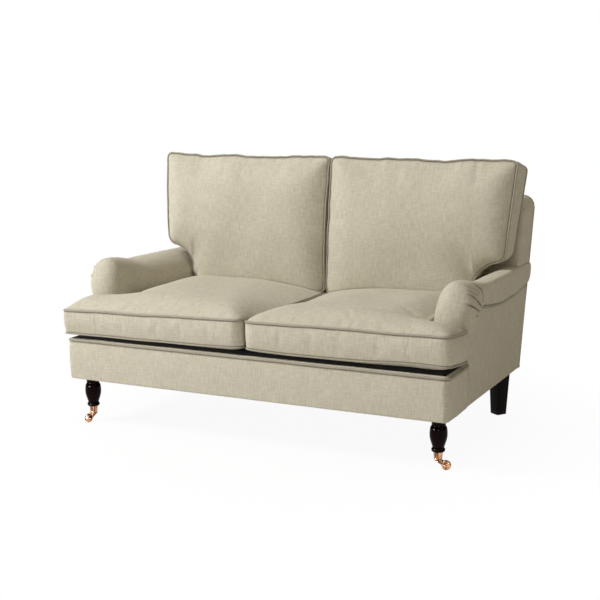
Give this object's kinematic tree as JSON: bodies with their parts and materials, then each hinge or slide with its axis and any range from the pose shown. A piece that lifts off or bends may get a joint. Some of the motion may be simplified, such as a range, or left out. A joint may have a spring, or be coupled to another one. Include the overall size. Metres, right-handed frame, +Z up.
{
  "type": "english roll arm sofa",
  "caption": "Low english roll arm sofa with loose T seat and back cushions in linen, turned front legs on casters and square tapered rear legs.",
  "frame": {"origin": "on the floor, at the middle of the sofa's footprint", "axes": "+X to the right of someone who faces the sofa, +Y to its back, +Z up"},
  "size_m": [1.496, 1.0532, 0.9709],
  "materials": {
    "linen": "woven slub linen in greige",
    "lining": "plain woven platform cloth",
    "dust_cloth": "black nonwoven cloth",
    "webbing": "jute webbing",
    "beech": "sawn beech",
    "dark_wood": "beech stained near black, gloss lacquer",
    "copper": "polished copper plate on brass",
    "steel": "zinc plated steel"
  },
  "bodies": {
    "frame": {"front_border": "linen", "dust_cover": "dust_cloth", "seat_deck": "lining", "front_rail": "beech", "back_rail": "beech", "side_rail_left": "beech", "corner_block_left": "beech", "side_rail_right": "beech", "corner_block_right": "beech", "centre_rail": "beech", "seat_spring_1": "steel", "seat_spring_2": "steel", "seat_spring_3": "steel", "seat_spring_4": "steel", "seat_spring_5": "steel", "seat_spring_6": "steel", "back_post_left": "beech", "back_post_right": "beech", "back_top_rail": "beech", "back_lower_rail": "beech", "back_web_1": "webbing", "back_web_2": "webbing", "back_web_3": "webbing", "back_web_4": "webbing", "back_border": "linen", "inside_back": "linen", "outside_back": "linen", "arm_pad_left": "linen", "arm_facing_left": "linen", "outside_arm_left": "linen", "arm_stump_left": "beech", "arm_board_left": "beech", "arm_pad_right": "linen", "arm_facing_right": "linen", "outside_arm_right": "linen", "arm_stump_right": "beech", "arm_board_right": "beech", "leg_front_left": "dark_wood", "leg_rear_left": "dark_wood", "leg_bolt_front_left": "steel", "leg_bolt_rear_left": "steel", "leg_front_right": "dark_wood", "leg_rear_right": "dark_wood", "leg_bolt_front_right": "steel", "leg_bolt_rear_right": "steel", "caster_cup_left": "copper", "caster_cup_right": "copper"},
    "swivel_left": {"caster_horn_left": "copper", "caster_axle_left": "copper"},
    "wheel_left": {"caster_wheel_left": "copper"},
    "seat_left": {"seat_cushion_left": "linen"},
    "back_left": {"back_cushion_left": "linen"},
    "swivel_right": {"caster_horn_right": "copper", "caster_axle_right": "copper"},
    "wheel_right": {"caster_wheel_right": "copper"},
    "seat_right": {"seat_cushion_right": "linen"},
    "back_right": {"back_cushion_right": "linen"}
  },
  "joints": [
    {"name": "caster_swivel_left", "type": "hinge", "parent": "frame", "child": "swivel_left", "pos_m": [-0.677, -0.43707, 0], "axis": [0, 0, 1], "continuous": true},
    {"name": "caster_roll_left", "type": "hinge", "parent": "swivel_left", "child": "wheel_left", "pos_m": [-0.6809, -0.4648, 0.0165], "axis": [0.9903, -0.1392, 0], "continuous": true},
    {"name": "caster_swivel_right", "type": "hinge", "parent": "frame", "child": "swivel_right", "pos_m": [0.677, -0.43707, 0], "axis": [0, 0, 1], "continuous": true},
    {"name": "caster_roll_right", "type": "hinge", "parent": "swivel_right", "child": "wheel_right", "pos_m": [0.705, -0.43707, 0.0165], "axis": [0, 1, 0], "continuous": true},
    {"name": "seat_lift_left", "type": "slide", "parent": "frame", "child": "seat_left", "axis": [0, -1, 0], "range_m": [0, 0.35]},
    {"name": "seat_lift_right", "type": "slide", "parent": "frame", "child": "seat_right", "axis": [0, -1, 0], "range_m": [0, 0.35]},
    {"name": "back_lift_left", "type": "slide", "parent": "frame", "child": "back_left", "axis": [0, 0, 1], "range_m": [0, 0.35]},
    {"name": "back_lift_right", "type": "slide", "parent": "frame", "child": "back_right", "axis": [0, 0, 1], "range_m": [0, 0.35]}
  ]
}
